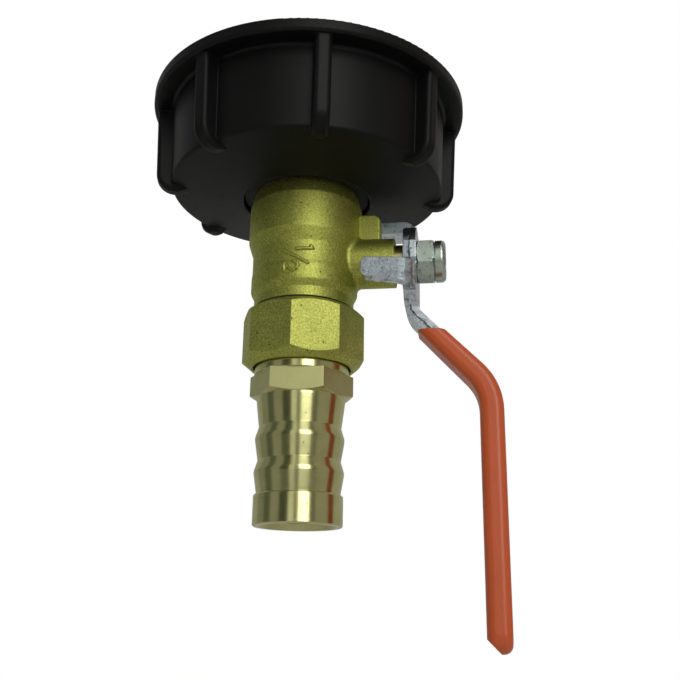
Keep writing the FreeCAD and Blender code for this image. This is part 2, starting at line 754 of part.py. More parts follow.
def make_lever():
    """The stamped lever: hub with a double-D hole, two stop tabs and a cranked arm."""
    plate = new_body("lever_plate", keep=False, **AT_STEM)
    padded(plate, "XZ", crank_outline("plate / 2", "plate / 2", "0", "-lever_length"),
           "2 * hub_flat", both_ways=True)
    for side in ("1", "-1"):
        padded(plate, "YZ", [
            (f"{side} * (hub_flat + 1)", "-hub_shoulder"),
            (f"{side} * hub_flat", "-hub_shoulder"),
            (f"{side} * arm_width / 2", "-hub_foot", "hub_blend"),
            (f"{side} * arm_width / 2", "-lever_length - 1"),
            (f"{side} * (hub_flat + 1)", "-lever_length - 1"),
        ], "4 * (hub_outside + crank)", both_ways=True, cut=True)
    rounded(plate, "lever_tip_round", lambda edge: along_x(edge, up=-value("lever_length")))
    padded(plate, "YZ", ("0", "0"), "plate", start="hub_face", round_radius="hub_radius")
    tab_end = "hub_outside - tab_reach"
    tab = [
        ("hub_outside", "tab_near"),
        ("hub_outside", "tab_face", "tab_bend + plate"),
        (tab_end, "tab_face"),
        (tab_end, "tab_face - plate"),
        ("hub_face", "tab_face - plate", "tab_bend"),
        ("hub_face", "tab_near"),
    ]
    padded(plate, "XZ", tab, "tab_far - tab_near", start="-tab_far")
    padded(plate, "XY", [(along, f"-({out})", *more) for along, out, *more in tab],
           "front_tab_foot - front_tab_root", start="-front_tab_foot")
    for level, root, end in (("0", "-front_tab_top", "-front_tab_end_top"),
                             ("-hub_foot", "-front_tab_foot", "-front_tab_end_foot")):
        padded(plate, "XZ", [
            (tab_end, level),
            ("hub_outside", level),
            ("hub_outside", root),
            (tab_end, end),
        ], "tab_face", start="hub_flat", cut=True)
    tab_end_x, thickness = value(tab_end), value("plate")

    def tab_corner(edge):
        box = edge.BoundBox
        at_end = box.XLength < 0.01 and abs(box.XMin - tab_end_x) < 0.01
        return at_end and abs(max(box.YLength, box.ZLength) - thickness) < 0.01

    rounded(plate, "tab_corner", tab_corner)
    beyond = "hub_radius + 4"
    slit_foot = "-front_tab_root"
    for near, far, low, high in (
            (f"-({beyond})", "-hub_flat", slit_foot, "hub_radius"),
            (f"-({beyond})", "slit_depth - hub_flat", slit_foot, f"slit_width - front_tab_root"),
            ("tab_near - slit_width", "tab_near", "hub_flat - slit_depth", beyond)):
        padded(plate, "YZ", [(near, low), (far, low), (far, high), (near, high)], "2 * plate",
               start="hub_middle", both_ways=True, cut=True)
    punch = primitive("Cylinder", "hub_punch", Radius="stem_thread_radius + hub_hole_gap",
                      Height="3 * plate", Placement__Base__x="hub_face - plate", **AT_STEM)
    punch.Placement.Rotation = FreeCAD.Rotation(FreeCAD.Vector(0, 1, 0), 90)
    flats = "stem_flats + 2 * hub_hole_gap"
    slab = primitive("Box", "hub_punch_flats", Length="3 * plate", Width="hub_radius",
                     Height=flats, Placement__Base__x="hub_face - plate",
                     Placement__Base__y="-hub_radius / 2",
                     Placement__Base__z=f"-stem_drop - ({flats}) / 2")
    double_d = primitive("MultiCommon", "hub_double_d")
    double_d.Shapes = [punch, slab]
    return cut_away("lever", plate, double_d)


def make_grip(lever):
    """The dipped vinyl grip: thicker towards its slanted tip, and open over the lever."""
    solid = new_body("grip_solid", keep=False, **AT_STEM)
    top = "plate / 2 + grip_coat_top"
    foot = "plate / 2 + grip_coat_foot"
    tip = "-lever_length - grip_cover"
    outline = crank_outline(top, foot, "0", tip)
    dip = "hub_middle + (grip_line - crank_start) * tan(crank_angle)"
    padded(solid, "XZ", [
        (f"{dip} + ({top}) / cos(crank_angle)", "-grip_line"),
        *outline[2:6],
        (f"{dip} - ({top}) / cos(crank_angle)", "-grip_line"),
    ], "grip_width", both_ways=True)
    rounded(solid, "grip_tip_round", lambda edge: along_x(edge, up=value(tip)))
    line, half_width = -value("grip_line"), value("grip_width / 2")

    def long_edge(edge):
        box = edge.BoundBox
        middle = edge.valueAt((edge.FirstParameter + edge.LastParameter) / 2)
        across_the_plate = along_x(edge) or box.ZMin > line - 0.01
        return not across_the_plate and (abs(abs(middle.y) - half_width) < 0.01
                                         or box.ZMax < value(tip) + value("grip_tip_round") + 0.01)

    rounded(solid, "grip_edge", long_edge)
    padded(solid, "XZ", [
        (f"arm_middle + {foot} - grip_tip_flat", tip),
        (f"arm_middle - ({foot})", f"{tip} + grip_slant"),
        (f"arm_middle - ({foot}) - 2", f"{tip} + grip_slant"),
        (f"arm_middle - ({foot}) - 2", f"{tip} - 2"),
        (f"arm_middle + {foot} - grip_tip_flat", f"{tip} - 2"),
    ], "2 * grip_width", both_ways=True, cut=True)
    return cut_away("lever_grip", solid, lever)


def make_nut():
    """The lock nut on the stem, and its nylon insert."""
    prism = new_body("nut_prism", keep=False, **AT_STEM)
    padded(prism, "YZ", polygon("nut_corner", HEXAGON_SIDES, "nut_turn"), "nut_height",
           start="hub_outside")
    chamfered = new_body("nut_chamfered", keep=False, **AT_STEM)
    turned(chamfered, [
        ("hub_outside", "0"),
        ("hub_outside", "nut_corner - 2 * nut_chamfer"),
        ("hub_outside + nut_chamfer", "nut_corner + 0.1"),
        ("nut_end - nut_chamfer", "nut_corner + 0.1"),
        ("nut_end", "nut_corner - 2 * nut_chamfer"),
        ("nut_end", "0"),
    ], about="H_Axis")
    hexagon = primitive("MultiCommon", "nut_hexagon")
    hexagon.Shapes = [prism, chamfered]
    collar = new_body("nut_collar", keep=False, **AT_STEM)
    turned(collar, [
        ("hub_outside + 1", "0"),
        ("hub_outside + 1", "nut_collar_radius - 0.5"),
        ("nut_end", "nut_collar_radius - 0.5"),
        ("nut_end + 0.3", "nut_collar_radius"),
        ("nut_end + nut_collar_height", "nut_collar_radius", "nut_collar_round"),
        ("nut_end + nut_collar_height", "0"),
    ], about="H_Axis")
    blank = primitive("MultiFuse", "nut_blank")
    blank.Shapes = [hexagon, collar]
    hollow = new_body("nut_hollow", keep=False, **AT_STEM)
    bore = "stem_thread_radius + nut_thread_gap"
    turned(hollow, [
        ("hub_outside - 1", "0"),
        ("hub_outside - 1", bore),
        ("nut_end + 0.2", bore),
        ("nut_end + 0.2", "insert_radius"),
        ("nut_end + 0.2 + insert_length", "insert_radius"),
        ("nut_end + 0.2 + insert_length", "insert_radius - 0.5"),
        ("nut_end + nut_collar_height + 1", "insert_radius - 0.5"),
        ("nut_end + nut_collar_height + 1", "0"),
    ], about="H_Axis")
    cut_away("lever_nut", blank, hollow)
    sleeve("nut_insert", bore, "insert_radius", "nut_end + 0.2",
           "nut_end + 0.2 + insert_length", **AT_STEM)


# ---------------------------------------------------------------- hose tail

def make_tail():
    """The turned hose tail: thread, flange, hexagon, barbs and a plain end land."""
    place = {"Placement__Base__z": "-stem_drop - tail_seat"}
    tail = new_body("hose_tail", **place)
    outline = [
        ("tail_bore", "tail_thread_length"),
        ("pipe_thread_radius - 0.8", "tail_thread_length"),
        ("pipe_thread_radius", "tail_thread_length - 0.8"),
        ("pipe_thread_radius", "0"),
        ("tail_flange_radius", "0", "0.3"),
        ("tail_flange_radius", "-tail_hex_top"),
        ("tail_root_radius", "-tail_hex_top"),
        ("tail_root_radius", "-tail_hex_bottom - tail_root_drop"),
    ]
    groove = "tail_land_length - tail_length"
    for i in reversed(range(BARBS)):
        top = f"{groove} + {i + 1} * tail_barb_pitch"
        outline += [
            ("tail_groove_radius", top),
            ("tail_barb_radius", f"{top} - tail_barb_rise", "tail_barb_round"),
        ]
    outline += [
        ("tail_groove_radius", groove),
        ("tail_land_radius", f"{groove}", "tail_land_round * 0.6"),
        ("tail_land_radius", "-tail_length + tail_mouth_edge"),
        ("tail_land_radius - tail_mouth_edge", "-tail_length"),
        ("tail_mouth_radius", "-tail_length"),
        ("tail_bore", "-tail_length + tail_mouth_depth"),
    ]
    turned(tail, outline)
    padded(tail, "XY", polygon("tail_hex_corner", HEXAGON_SIDES, "tail_hex_turn"),
           "tail_hex_height", start="-tail_hex_bottom")
    beyond = "tail_hex_corner + 0.1"
    turned(tail, [
        (f"{beyond} - 2 * tail_hex_edge", "-tail_hex_bottom"),
        (beyond, "-tail_hex_bottom"),
        (beyond, "-tail_hex_bottom + tail_hex_edge"),
    ], cut=True)
    turned(tail, [
        ("0", "-tail_hex_bottom - 1"),
        ("tail_bore", "-tail_hex_bottom - 1"),
        ("tail_bore", "1 - tail_hex_top"),
        ("0", "1 - tail_hex_top"),
    ], cut=True)
    ring("tail_washer", "boss_bore", "mouth_recess_radius - 0.2", "0", "tail_washer_thickness",
         **place)


# ---------------------------------------------------------------- build and write

def check_everything():
    """Stop if any object failed, or if a sub-part has no sound shape."""
    for thing in doc.Objects:
        if "Invalid" in thing.State or "Error" in thing.State:
            raise RuntimeError(f"{thing.Label} failed: {thing.State}")
    for label, part in PARTS.items():
        if part.Shape.isNull() or not part.Shape.isValid():
            raise RuntimeError(f"{label} has no sound shape")


def main():
    make_cap()
    make_body()
    make_end_piece()
    make_ball()
    make_stem()
    lever = make_lever()
    make_grip(lever)
    make_nut()
    make_tail()
    doc.recompute()
    check_everything()
    os.makedirs("parts", exist_ok=True)
    for label, part in PARTS.items():
        part.Shape.exportStep(f"parts/{label}.step")
        print(f"{label}: {len(part.Shape.Solids)} solid, {part.Shape.Volume:.1f} mm3")


main()
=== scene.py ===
"""Studio scene of the container tank valve: finishes, raised size mark, light and camera."""

import logging
import math
from dataclasses import dataclass, field
from enum import Enum
from typing import Iterable, Sequence, Union

import bpy
from mathutils import Matrix, Vector


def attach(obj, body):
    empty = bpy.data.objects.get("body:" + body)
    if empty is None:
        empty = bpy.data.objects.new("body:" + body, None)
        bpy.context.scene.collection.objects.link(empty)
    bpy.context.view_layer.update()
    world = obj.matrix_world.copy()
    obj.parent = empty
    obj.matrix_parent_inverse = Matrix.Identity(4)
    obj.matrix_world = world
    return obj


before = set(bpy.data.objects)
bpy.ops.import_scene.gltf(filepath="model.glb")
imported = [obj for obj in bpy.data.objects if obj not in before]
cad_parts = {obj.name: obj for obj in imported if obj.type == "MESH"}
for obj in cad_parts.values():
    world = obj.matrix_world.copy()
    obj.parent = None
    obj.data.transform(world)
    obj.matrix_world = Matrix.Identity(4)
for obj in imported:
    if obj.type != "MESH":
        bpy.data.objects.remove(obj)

LOG = logging.getLogger("tank_valve")
MM = 0.001
STEM_DROP = 42.0 * MM       # from the cap's upper face down to the stem's axis
EDGE_SAMPLES = 6
EDGE_LIKENESS = (0.995, 0.90)   # how alike flat and rounded normals are off and on an edge

Colour = tuple[float, float, float]
Value = Union[float, "Sock"]


# ---------------------------------------------------------------- shader maths

class Sock:
    """A number that flows through a material, with arithmetic that adds Math nodes."""

    def __init__(self, graph: "Graph", socket: bpy.types.NodeSocket | None) -> None:
        """Wrap one output socket of a graph, or none for a graph's last node."""
        self.graph = graph
        self.socket = socket

    def _math(self, operation: str, first: Value, second: Value) -> "Sock":
        """Add one Math node over two values."""
        return self.graph.node("ShaderNodeMath", {"operation": operation}, {0: first, 1: second})

    def __add__(self, other: Value) -> "Sock":
        """self + other."""
        return self._math("ADD", self, other)

    def __radd__(self, other: Value) -> "Sock":
        """other + self."""
        return self._math("ADD", other, self)

    def __sub__(self, other: Value) -> "Sock":
        """self - other."""
        return self._math("SUBTRACT", self, other)

    def __rsub__(self, other: Value) -> "Sock":
        """other - self."""
        return self._math("SUBTRACT", other, self)

    def __mul__(self, other: Value) -> "Sock":
        """self * other."""
        return self._math("MULTIPLY", self, other)

    def __rmul__(self, other: Value) -> "Sock":
        """other * self."""
        return self._math("MULTIPLY", other, self)

    def __abs__(self) -> "Sock":
        """The size of the value."""
        return self._math("ABSOLUTE", self, 0.0)

    def maximum(self, other: Value) -> "Sock":
        """The larger of two values."""
        return self._math("MAXIMUM", self, other)

    def step(self, low: float, high: float) -> "Sock":
        """Rise smoothly from 0 to 1.

        Args:
            low: where the rise starts; it may be larger than high.
            high: where the rise ends.

        Returns:
            0 on low's side, 1 on high's side and a smooth curve between.
        """
        return self.graph.node(
            "ShaderNodeMapRange", {"interpolation_type": "SMOOTHSTEP"},
            {"Value": self, "From Min": low, "From Max": high})


class Graph:
    """The node tree of one material or of the world."""

    def __init__(self, tree: bpy.types.NodeTree) -> None:
        """Empty a node tree and take it over."""
        self.tree = tree
        tree.nodes.clear()

    def node(self, kind: str, settings: dict | None = None,
             inputs: dict | None = None, output: int | str = 0) -> Sock:
        """Add a node.

        Args:
            kind: the node's type.
            settings: its own settings, set first.
            inputs: a value or a Sock for each of its sockets, by name or place.
            output: which of its outputs to return.

        Returns:
            The chosen output, wrapped.
        """
        made = self.tree.nodes.new(kind)
        for name, setting in (settings or {}).items():
            setattr(made, name, setting)
        for name, given in (inputs or {}).items():
            if isinstance(given, Sock):
                self.tree.links.new(given.socket, made.inputs[name])
            else:
                made.inputs[name].default_value = given
        return Sock(self, made.outputs[output] if made.outputs else None)

    def mix(self, share: Value, first: Colour | Sock, second: Colour | Sock) -> Sock:
        """Mix two colours.

        Args:
            share: how much of the second colour shows, from 0 to 1.
            first: the colour at 0.
            second: the colour at 1.

        Returns:
            The mixed colour.
        """
        sides = {6: first, 7: second}
        given = {at: c if isinstance(c, Sock) else (*c, 1.0) for at, c in sides.items()}
        return self.node("ShaderNodeMix", {"data_type": "RGBA", "blend_type": "MIX"},
                         {0: share, **given}, output=2)

    def vector(self, operation: str, first: Sock, second: Sequence[float] | Sock) -> Sock:
        """Add one Vector Math node."""
        return self.node("ShaderNodeVectorMath", {"operation": operation}, {0: first, 1: second})

    def place(self) -> Sock:
        """The point on the object, in metres in the row frame at rest."""
        return self.node("ShaderNodeTexCoord", output="Object")

    def facing(self) -> Sock:
        """The surface's normal in the object's own frame."""
        return self.node("ShaderNodeTexCoord", output="Normal")

    def split(self, vector: Sock) -> tuple[Sock, Sock, Sock]:
        """Take a vector apart.

        Args:
            vector: the vector.

        Returns:
            Its three parts.
        """
        first = self.node("ShaderNodeSeparateXYZ", inputs={0: vector}, output=0)
        made = first.socket.node
        return first, Sock(self, made.outputs[1]), Sock(self, made.outputs[2])

    def noise(self, grain: float, detail: float = 2.0, rough: float = 0.5,
              stretch: Sequence[float] = (1.0, 1.0, 1.0)) -> Sock:
        """Noise from 0 to 1.

        Args:
            grain: the size of its features, in metres.
            detail: how many finer layers it has.
            rough: how strong the finer layers are.
            stretch: how much longer the features are along each axis.

        Returns:
            The noise's value.
        """
        scaled = self.vector("MULTIPLY", self.place(), [1.0 / s for s in stretch])
        return self.node("ShaderNodeTexNoise", inputs={
            "Vector": scaled, "Scale": 1.0 / grain, "Detail": detail, "Roughness": rough})

    def specks(self, spacing: float, size: float) -> Sock:
        """Scattered round specks.

        Args:
            spacing: the usual distance between them, in metres.
            size: their radius as a share of the spacing.

        Returns:
            1 inside a speck and 0 outside.
        """
        far = self.node("ShaderNodeTexVoronoi", inputs={"Vector": self.place(),
                                                        "Scale": 1.0 / spacing})
        return far.step(size, size * 0.5)

    def bump(self, height: Value, depth: float, over: Sock | None = None,
             strength: float = 1.0) -> Sock:
        """Bend the normal.

        Args:
            height: the relief, from 0 to 1.
            depth: what a height of 1 is worth, in metres.
            over: the normal that is bent, or the surface's own.
            strength: how much of the effect shows.

        Returns:
            The bent normal.
        """
        inputs = {"Height": height, "Distance": depth, "Strength": strength}
        if over is not None:
            inputs["Normal"] = over
        return self.node("ShaderNodeBump", inputs=inputs)

    def soft_edge(self, radius: float) -> Sock:
        """A normal that rounds every sharp edge by a radius."""
        return self.node("ShaderNodeBevel", {"samples": EDGE_SAMPLES}, {"Radius": radius})

    def edges(self, radius: float) -> Sock:
        """Find the edges of the surface.

        Args:
            radius: how far from an edge it still counts, in metres.

        Returns:
            1 along convex and concave edges, falling to 0 away from them.
        """
        rounded = self.soft_edge(radius)
        flat = self.node("ShaderNodeNewGeometry", output="Normal")
        likeness = self.node("ShaderNodeVectorMath", {"operation": "DOT_PRODUCT"},
                             {0: rounded, 1: flat}, output="Value")
        return likeness.step(*EDGE_LIKENESS)


@dataclass(frozen=True)
class Surface:
    """What a finish gives to the shader of one material."""

    colour: Colour | Sock
    rough: Value
    metal: Value = 0.0
    normal: Sock | None = None
    specular: float = 0.5


@dataclass(frozen=True)
class Finish:
    """A named finish; each kind of finish says how its surface is made."""

    name: str

    def surface(self, graph: Graph) -> Surface:
        """Build the nodes of this finish.

        Args:
            graph: the material's empty node tree.

        Returns:
            What the nodes give to the shader.
        """
        raise NotImplementedError

    def material(self) -> bpy.types.Material:
        """Make the material of this finish.

        Returns:
            The material, ready for a slot.
        """
        made = bpy.data.materials.new(self.name)
        made.use_nodes = True
        graph = Graph(made.node_tree)
        look = self.surface(graph)
        inputs = {
            "Base Color": look.colour if isinstance(look.colour, Sock) else (*look.colour, 1.0),
            "Roughness": look.rough,
            "Metallic": look.metal,
            "Specular IOR Level": look.specular,
        }
        if look.normal is not None:
            inputs["Normal"] = look.normal
        shader = graph.node("ShaderNodeBsdfPrincipled", inputs=inputs)
        graph.node("ShaderNodeOutputMaterial", inputs={"Surface": shader})
        return made


# ---------------------------------------------------------------- finishes

@dataclass(frozen=True)
class MouldedPlastic(Finish):
    """Black moulded polypropylene: a satin skin with faint flow marks, and edges lightened partly by wear
    and partly by a painted highlight.
    """

    colour: Colour = (0.0040, 0.0042, 0.0042)
    # Lighter grey for scuffs, which are wear, and for edges, which are partly wear and partly a painted
    # edge highlight.
    worn_and_sheen: Colour = (0.030, 0.031, 0.031)
    rough: float = 0.40
    specular: float = 0.20
    flow_size: float = 7.0 * MM
    flow_depth: float = 0.10 * MM
    grain_size: float = 0.22 * MM
    grain_depth: float = 0.006 * MM
    scuff_size: float = 1.6 * MM
    wear_and_sheen_width: float = 0.45 * MM
    edge_radius: float = 0.35 * MM

    def surface(self, graph: Graph) -> Surface:
        """Build the nodes of this finish."""
        flow = graph.noise(self.flow_size, detail=3.0)
        grain = graph.noise(self.grain_size, detail=3.0)
        scuff = graph.noise(self.scuff_size, detail=5.0, rough=0.65).step(0.60, 0.72)
        edge = graph.edges(self.wear_and_sheen_width)
        colour = graph.mix(flow * 0.5, self.colour, tuple(1.7 * c for c in self.colour))
        # Scuffs are wear; the lighter edges are partly wear and partly a painted edge highlight.
        colour = graph.mix((edge * 0.35).maximum(scuff * 0.10), colour, self.worn_and_sheen)
        rough = self.rough + flow * 0.10 - edge * 0.06 + scuff * 0.12
        normal = graph.soft_edge(self.edge_radius)
        normal = graph.bump(flow, self.flow_depth, normal, 0.5)
        normal = graph.bump(grain, self.grain_depth, normal, 0.6)
        return Surface(colour, rough, 0.0, normal, self.specular)


@dataclass(frozen=True)
class Rubber(Finish):
    """Moulded seal rubber with a dusty bloom."""

    colour: Colour = (0.016, 0.016, 0.016)
    bloom_size: float = 2.0 * MM
    grain_size: float = 0.15 * MM
    grain_depth: float = 0.010 * MM
    edge_radius: float = 0.15 * MM

    def surface(self, graph: Graph) -> Surface:
        """Build the nodes of this finish."""
        bloom = graph.noise(self.bloom_size, detail=4.0)
        grain = graph.noise(self.grain_size)
        colour = graph.mix(bloom * 0.6, self.colour, tuple(2.2 * c for c in self.colour))
        normal = graph.bump(grain, self.grain_depth, graph.soft_edge(self.edge_radius))
        return Surface(colour, 0.62 + bloom * 0.15, 0.0, normal, 0.35)


@dataclass(frozen=True)
class BlastedBrass(Finish):
    """Forged brass after shot blasting: a sandy grain over dull greenish yellow, with painted glints on
    the grain, and edges brightened partly by wear and partly by a painted highlight.
    """

    colour: Colour = (0.60, 0.62, 0.14)
    dull: Colour = (0.30, 0.32, 0.07)
    # Painted glint colour, for sparkling sand grains and brightened edges.
    glint: Colour = (0.95, 0.97, 0.36)
    rough: float = 0.44
    grain: float = 0.34 * MM
    depth: float = 0.055 * MM
    cloud_size: float = 4.5 * MM
    cloud_depth: float = 0.12 * MM
    pit_spacing: float = 3.1 * MM
    pit_size: float = 0.10
    wear_and_sheen_width: float = 0.4 * MM
    edge_radius: float = 0.30 * MM

    def surface(self, graph: Graph) -> Surface:
        """Build the nodes of this finish."""
        sand = graph.noise(self.grain, detail=3.0, rough=0.62)
        fine = graph.noise(self.grain * 0.45, detail=1.0)
        cloud = graph.noise(self.cloud_size, detail=3.0)
        pits = graph.specks(self.pit_spacing, self.pit_size)
        edge = graph.edges(self.wear_and_sheen_width)
        colour = graph.mix(sand.step(0.30, 0.62), self.dull, self.colour)
        # Painted glints on the brightest sand grains.
        colour = graph.mix(sand.step(0.60, 0.74) * 0.55, colour, self.glint)
        colour = graph.mix(cloud.step(0.35, 0.75) * 0.30, colour, self.dull)
        colour = graph.mix(pits * 0.75, colour, tuple(0.25 * c for c in self.dull))
        # Brighter edges: partly wear, partly a painted edge highlight.
        colour = graph.mix(edge * 0.30, colour, self.glint)
        rough = self.rough + sand * 0.10 - edge * 0.10
        base = graph.soft_edge(self.edge_radius)
        normal = graph.bump(cloud, self.cloud_depth, base, 0.35)
        normal = graph.bump(sand + fine * 0.35 - pits, self.depth, normal)
        return Surface(colour, rough, 1.0, normal)


@dataclass(frozen=True)
class Brushing:
    """Where a turned part keeps the straight brushing of its hexagon, in metres."""

    low: float
    high: float
    core: float = 10.0 * MM
    fade: float = 0.1 * MM


@dataclass(frozen=True)
class TurnedBrass(Finish):
    """Bright turned brass: tool rings around the axis, with a brushed hexagon."""

    colour: Colour = (0.66, 0.64, 0.30)
    dull: Colour = (0.44, 0.43, 0.17)
    pit_colour: Colour = (0.05, 0.045, 0.02)
    flat_colour: Colour = (0.50, 0.50, 0.22)
    # Brighter edge colour: partly wear, partly a painted edge highlight.
    edge_colour: Colour = (0.90, 0.90, 0.50)
    ring_size: float = 0.16 * MM
    band_size: float = 1.3 * MM
    brush_size: float = 0.12 * MM
    mark_length: float = 60.0
    mark_depth: float = 0.0035 * MM
    cloud_size: float = 3.0 * MM
    stain_size: float = 1.1 * MM
    pit_spacing: float = 2.6 * MM
    pit_size: float = 0.075
    wear_and_sheen_width: float = 0.25 * MM
    edge_radius: float = 0.15 * MM
    rough: float = 0.13
    axis: int = 2
    hexagon: Brushing | None = None

    def surface(self, graph: Graph) -> Surface:
        """Build the nodes of this finish."""
        place = graph.place()
        parts = graph.split(place)
        long_way = [self.mark_length] * 3
        long_way[self.axis] = 1.0
        rings = graph.noise(self.ring_size, detail=2.0, stretch=long_way)
        bands = graph.noise(self.band_size, detail=3.0, stretch=long_way)
        cloud = graph.noise(self.cloud_size, detail=4.0)
        stain = graph.noise(self.stain_size, detail=5.0, rough=0.7).step(0.62, 0.75)
        pits = graph.specks(self.pit_spacing, self.pit_size)
        edge = graph.edges(self.wear_and_sheen_width)
        colour = graph.mix(cloud.step(0.40, 0.70) * 0.35, self.colour, self.dull)
        colour = graph.mix(stain * 0.30, colour, tuple(0.6 * c for c in self.dull))
        colour = graph.mix(pits * 0.8, colour, self.pit_colour)
        rough = self.rough + bands * 0.06 + cloud * 0.05 + stain * 0.10 + pits * 0.3
        height = rings * 0.6 + bands * 0.4
        if self.hexagon is not None:
            flats = self.flats(graph, parts)
            brush = graph.noise(self.brush_size, detail=2.0,
                                stretch=(1.0, 1.0, self.mark_length))
            height = height * (1.0 - flats) + brush * flats
            rough = rough + flats * (0.16 + brush * 0.10)
            colour = graph.mix(flats * 0.55, colour, self.flat_colour)
        rough = rough - edge * 0.04
        # Brighter edges: partly wear, partly a painted edge highlight.
        colour = graph.mix(edge * 0.35, colour, self.edge_colour)
        normal = graph.bump(height - pits, self.mark_depth, graph.soft_edge(self.edge_radius))
        return Surface(colour, rough, 1.0, normal)

    def flats(self, graph: Graph, parts: Sequence[Sock]) -> Sock:
        """Find the flats of the hexagon.

        Args:
            graph: the material's node tree.
            parts: the three parts of the point on the object.

        Returns:
            1 on the flats and 0 on turned faces.
        """
        up = graph.split(graph.facing())[2]
        height = parts[2]
        low, high, fade = self.hexagon.low, self.hexagon.high, self.hexagon.fade
        inside = height.step(low - fade, low + fade)
        inside = inside * height.step(high + fade, high - fade)
        reach = graph.node("ShaderNodeMath", {"operation": "POWER"},
                           {0: parts[0] * parts[0] + parts[1] * parts[1], 1: 0.5})
        return inside * abs(up).step(0.3, 0.1) * reach.step(
            self.hexagon.core, self.hexagon.core + 2 * fade)


@dataclass(frozen=True)
class Shear:
    """The line through the lever's thickness where its cut edge turns into a torn one."""

    upright: float = 25.8 * MM
    bend_height: float = -13.25 * MM
    slant: float = math.radians(43.73)
    waver_size: float = 1.2 * MM
    waver: float = 0.9 * MM
    tear_size: float = 0.35 * MM
    tear_start: float = -0.1 * MM
    tear_full: float = 0.3 * MM
    line_outer: float = 0.22 * MM
    line_inner: float = 0.05 * MM
    depth: float = 0.16 * MM


@dataclass(frozen=True)
class ZincSteel(Finish):
    """Zinc-plated pressed steel: bright blotchy faces and torn sheared edges."""

    colour: Colour = (0.70, 0.76, 0.80)
    smoky: Colour = (0.12, 0.16, 0.19)
    rough: float = 0.20
    # Brighter edge colour: partly wear, partly a painted edge highlight.
    edge_colour: Colour = (0.92, 0.96, 0.98)
    groove_colour: Colour = (0.02, 0.025, 0.03)
    cloud_size: float = 2.4 * MM
    patch_size: float = 1.5 * MM
    ripple_size: float = 0.5 * MM
    dent_depth: float = 0.05 * MM
    wear_and_sheen_width: float = 0.3 * MM
    edge_radius: float = 0.25 * MM
    shear: Shear | None = None

    def surface(self, graph: Graph) -> Surface:
        """Build the nodes of this finish."""
        cloud = graph.noise(self.cloud_size, detail=4.0, rough=0.6)
        patch = graph.noise(self.patch_size, detail=5.0, rough=0.7).step(0.52, 0.66)
        ripple = graph.noise(self.ripple_size, detail=3.0)
        edge = graph.edges(self.wear_and_sheen_width)
        colour = graph.mix(cloud.step(0.45, 0.75) * 0.45, self.colour, self.smoky)
        colour = graph.mix(patch * 0.75, colour, self.smoky)
        rough = self.rough + cloud * 0.10 + patch * 0.12
        height = cloud * 0.6 + ripple * 0.4
        normal = graph.bump(height, self.dent_depth, graph.soft_edge(self.edge_radius), 0.5)
        if self.shear is not None:
            torn, groove, rough_tear = self.tear(graph, self.shear)
            colour = graph.mix(torn * rough_tear, colour, self.smoky)
            colour = graph.mix(groove * 0.85, colour, self.groove_colour)
            rough = rough + torn * 0.15
            normal = graph.bump(rough_tear * torn - groove, self.shear.depth, normal, 0.8)
        # Brighter edges: partly wear, partly a painted edge highlight.
        colour = graph.mix(edge * 0.30, colour, self.edge_colour)
        return Surface(colour, rough, 1.0, normal)

    @staticmethod
    def tear(graph: Graph, shear: Shear) -> tuple[Sock, Sock, Sock]:
        """The press marks on the cut edges of the lever.

        Args:
            graph: the material's node tree.
            shear: where the cut edge turns into a torn one.

        Returns:
            The torn share of a cut edge, the dark line between cut and tear, and the tear's
            own roughness, each from 0 to 1.
        """
        along, _, up = graph.split(graph.place())
        side = abs(graph.split(graph.facing())[1])
        height = up + STEM_DROP
        behind = shear.upright - along
        sloped = behind * math.cos(shear.slant)
        sloped = sloped - (height - shear.bend_height) * math.sin(shear.slant)
        through = behind.maximum(sloped)
        cut_edge = side.step(0.85, 0.95)
        waver = (graph.noise(shear.waver_size, detail=3.0) - 0.5) * shear.waver
        torn = (through + waver).step(shear.tear_start, shear.tear_full) * cut_edge
        line = abs(through + waver)
        groove = line.step(shear.line_outer, shear.line_inner) * cut_edge
        tear = graph.noise(shear.tear_size, detail=4.0, rough=0.7)
        return torn, groove, tear


@dataclass(frozen=True)
class DippedVinyl(Finish):
    """Orange dipped vinyl: a smooth soft gloss with slight runs."""

    colour: Colour = (0.78, 0.135, 0.035)
    deep: Colour = (0.55, 0.090, 0.024)
    rough: float = 0.28
    scuffed: Colour = (0.55, 0.25, 0.15)
    run_size: float = 5.0 * MM
    run_length: float = 4.0
    run_depth: float = 0.12 * MM
    skin_size: float = 0.5 * MM
    skin_depth: float = 0.004 * MM
    scuff_size: float = 1.2 * MM
    edge_radius: float = 0.4 * MM

    def surface(self, graph: Graph) -> Surface:
        """Build the nodes of this finish."""
        runs = graph.noise(self.run_size, detail=2.0, stretch=(1.0, 1.0, self.run_length))
        skin = graph.noise(self.skin_size, detail=3.0)
        scuff = graph.noise(self.scuff_size, detail=5.0, rough=0.7).step(0.64, 0.76)
        colour = graph.mix(runs * 0.6, self.colour, self.deep)
        colour = graph.mix(scuff * 0.12, colour, self.scuffed)
        rough = self.rough + runs * 0.08 + scuff * 0.15
        normal = graph.bump(runs, self.run_depth, graph.soft_edge(self.edge_radius), 0.5)
        normal = graph.bump(skin, self.skin_depth, normal, 0.6)
        return Surface(colour, rough, 0.0, normal, 0.55)


@dataclass(frozen=True)
class Chrome(Finish):
    """Hard chrome plate with faint wear rings."""

    colour: Colour = (0.78, 0.80, 0.82)
    hazy: Colour = (0.55, 0.57, 0.60)
    haze_size: float = 2.5 * MM
    ring_size: float = 0.2 * MM
    ring_length: float = 40.0
    ring_depth: float = 0.001 * MM
    edge_radius: float = 0.2 * MM

    def surface(self, graph: Graph) -> Surface:
        """Build the nodes of this finish."""
        haze = graph.noise(self.haze_size, detail=4.0)
        rings = graph.noise(self.ring_size, stretch=(self.ring_length, 1.0, self.ring_length))
        normal = graph.bump(rings, self.ring_depth, graph.soft_edge(self.edge_radius))
        colour = graph.mix(haze * 0.3, self.colour, self.hazy)
        return Surface(colour, 0.06 + haze * 0.06, 1.0, normal)


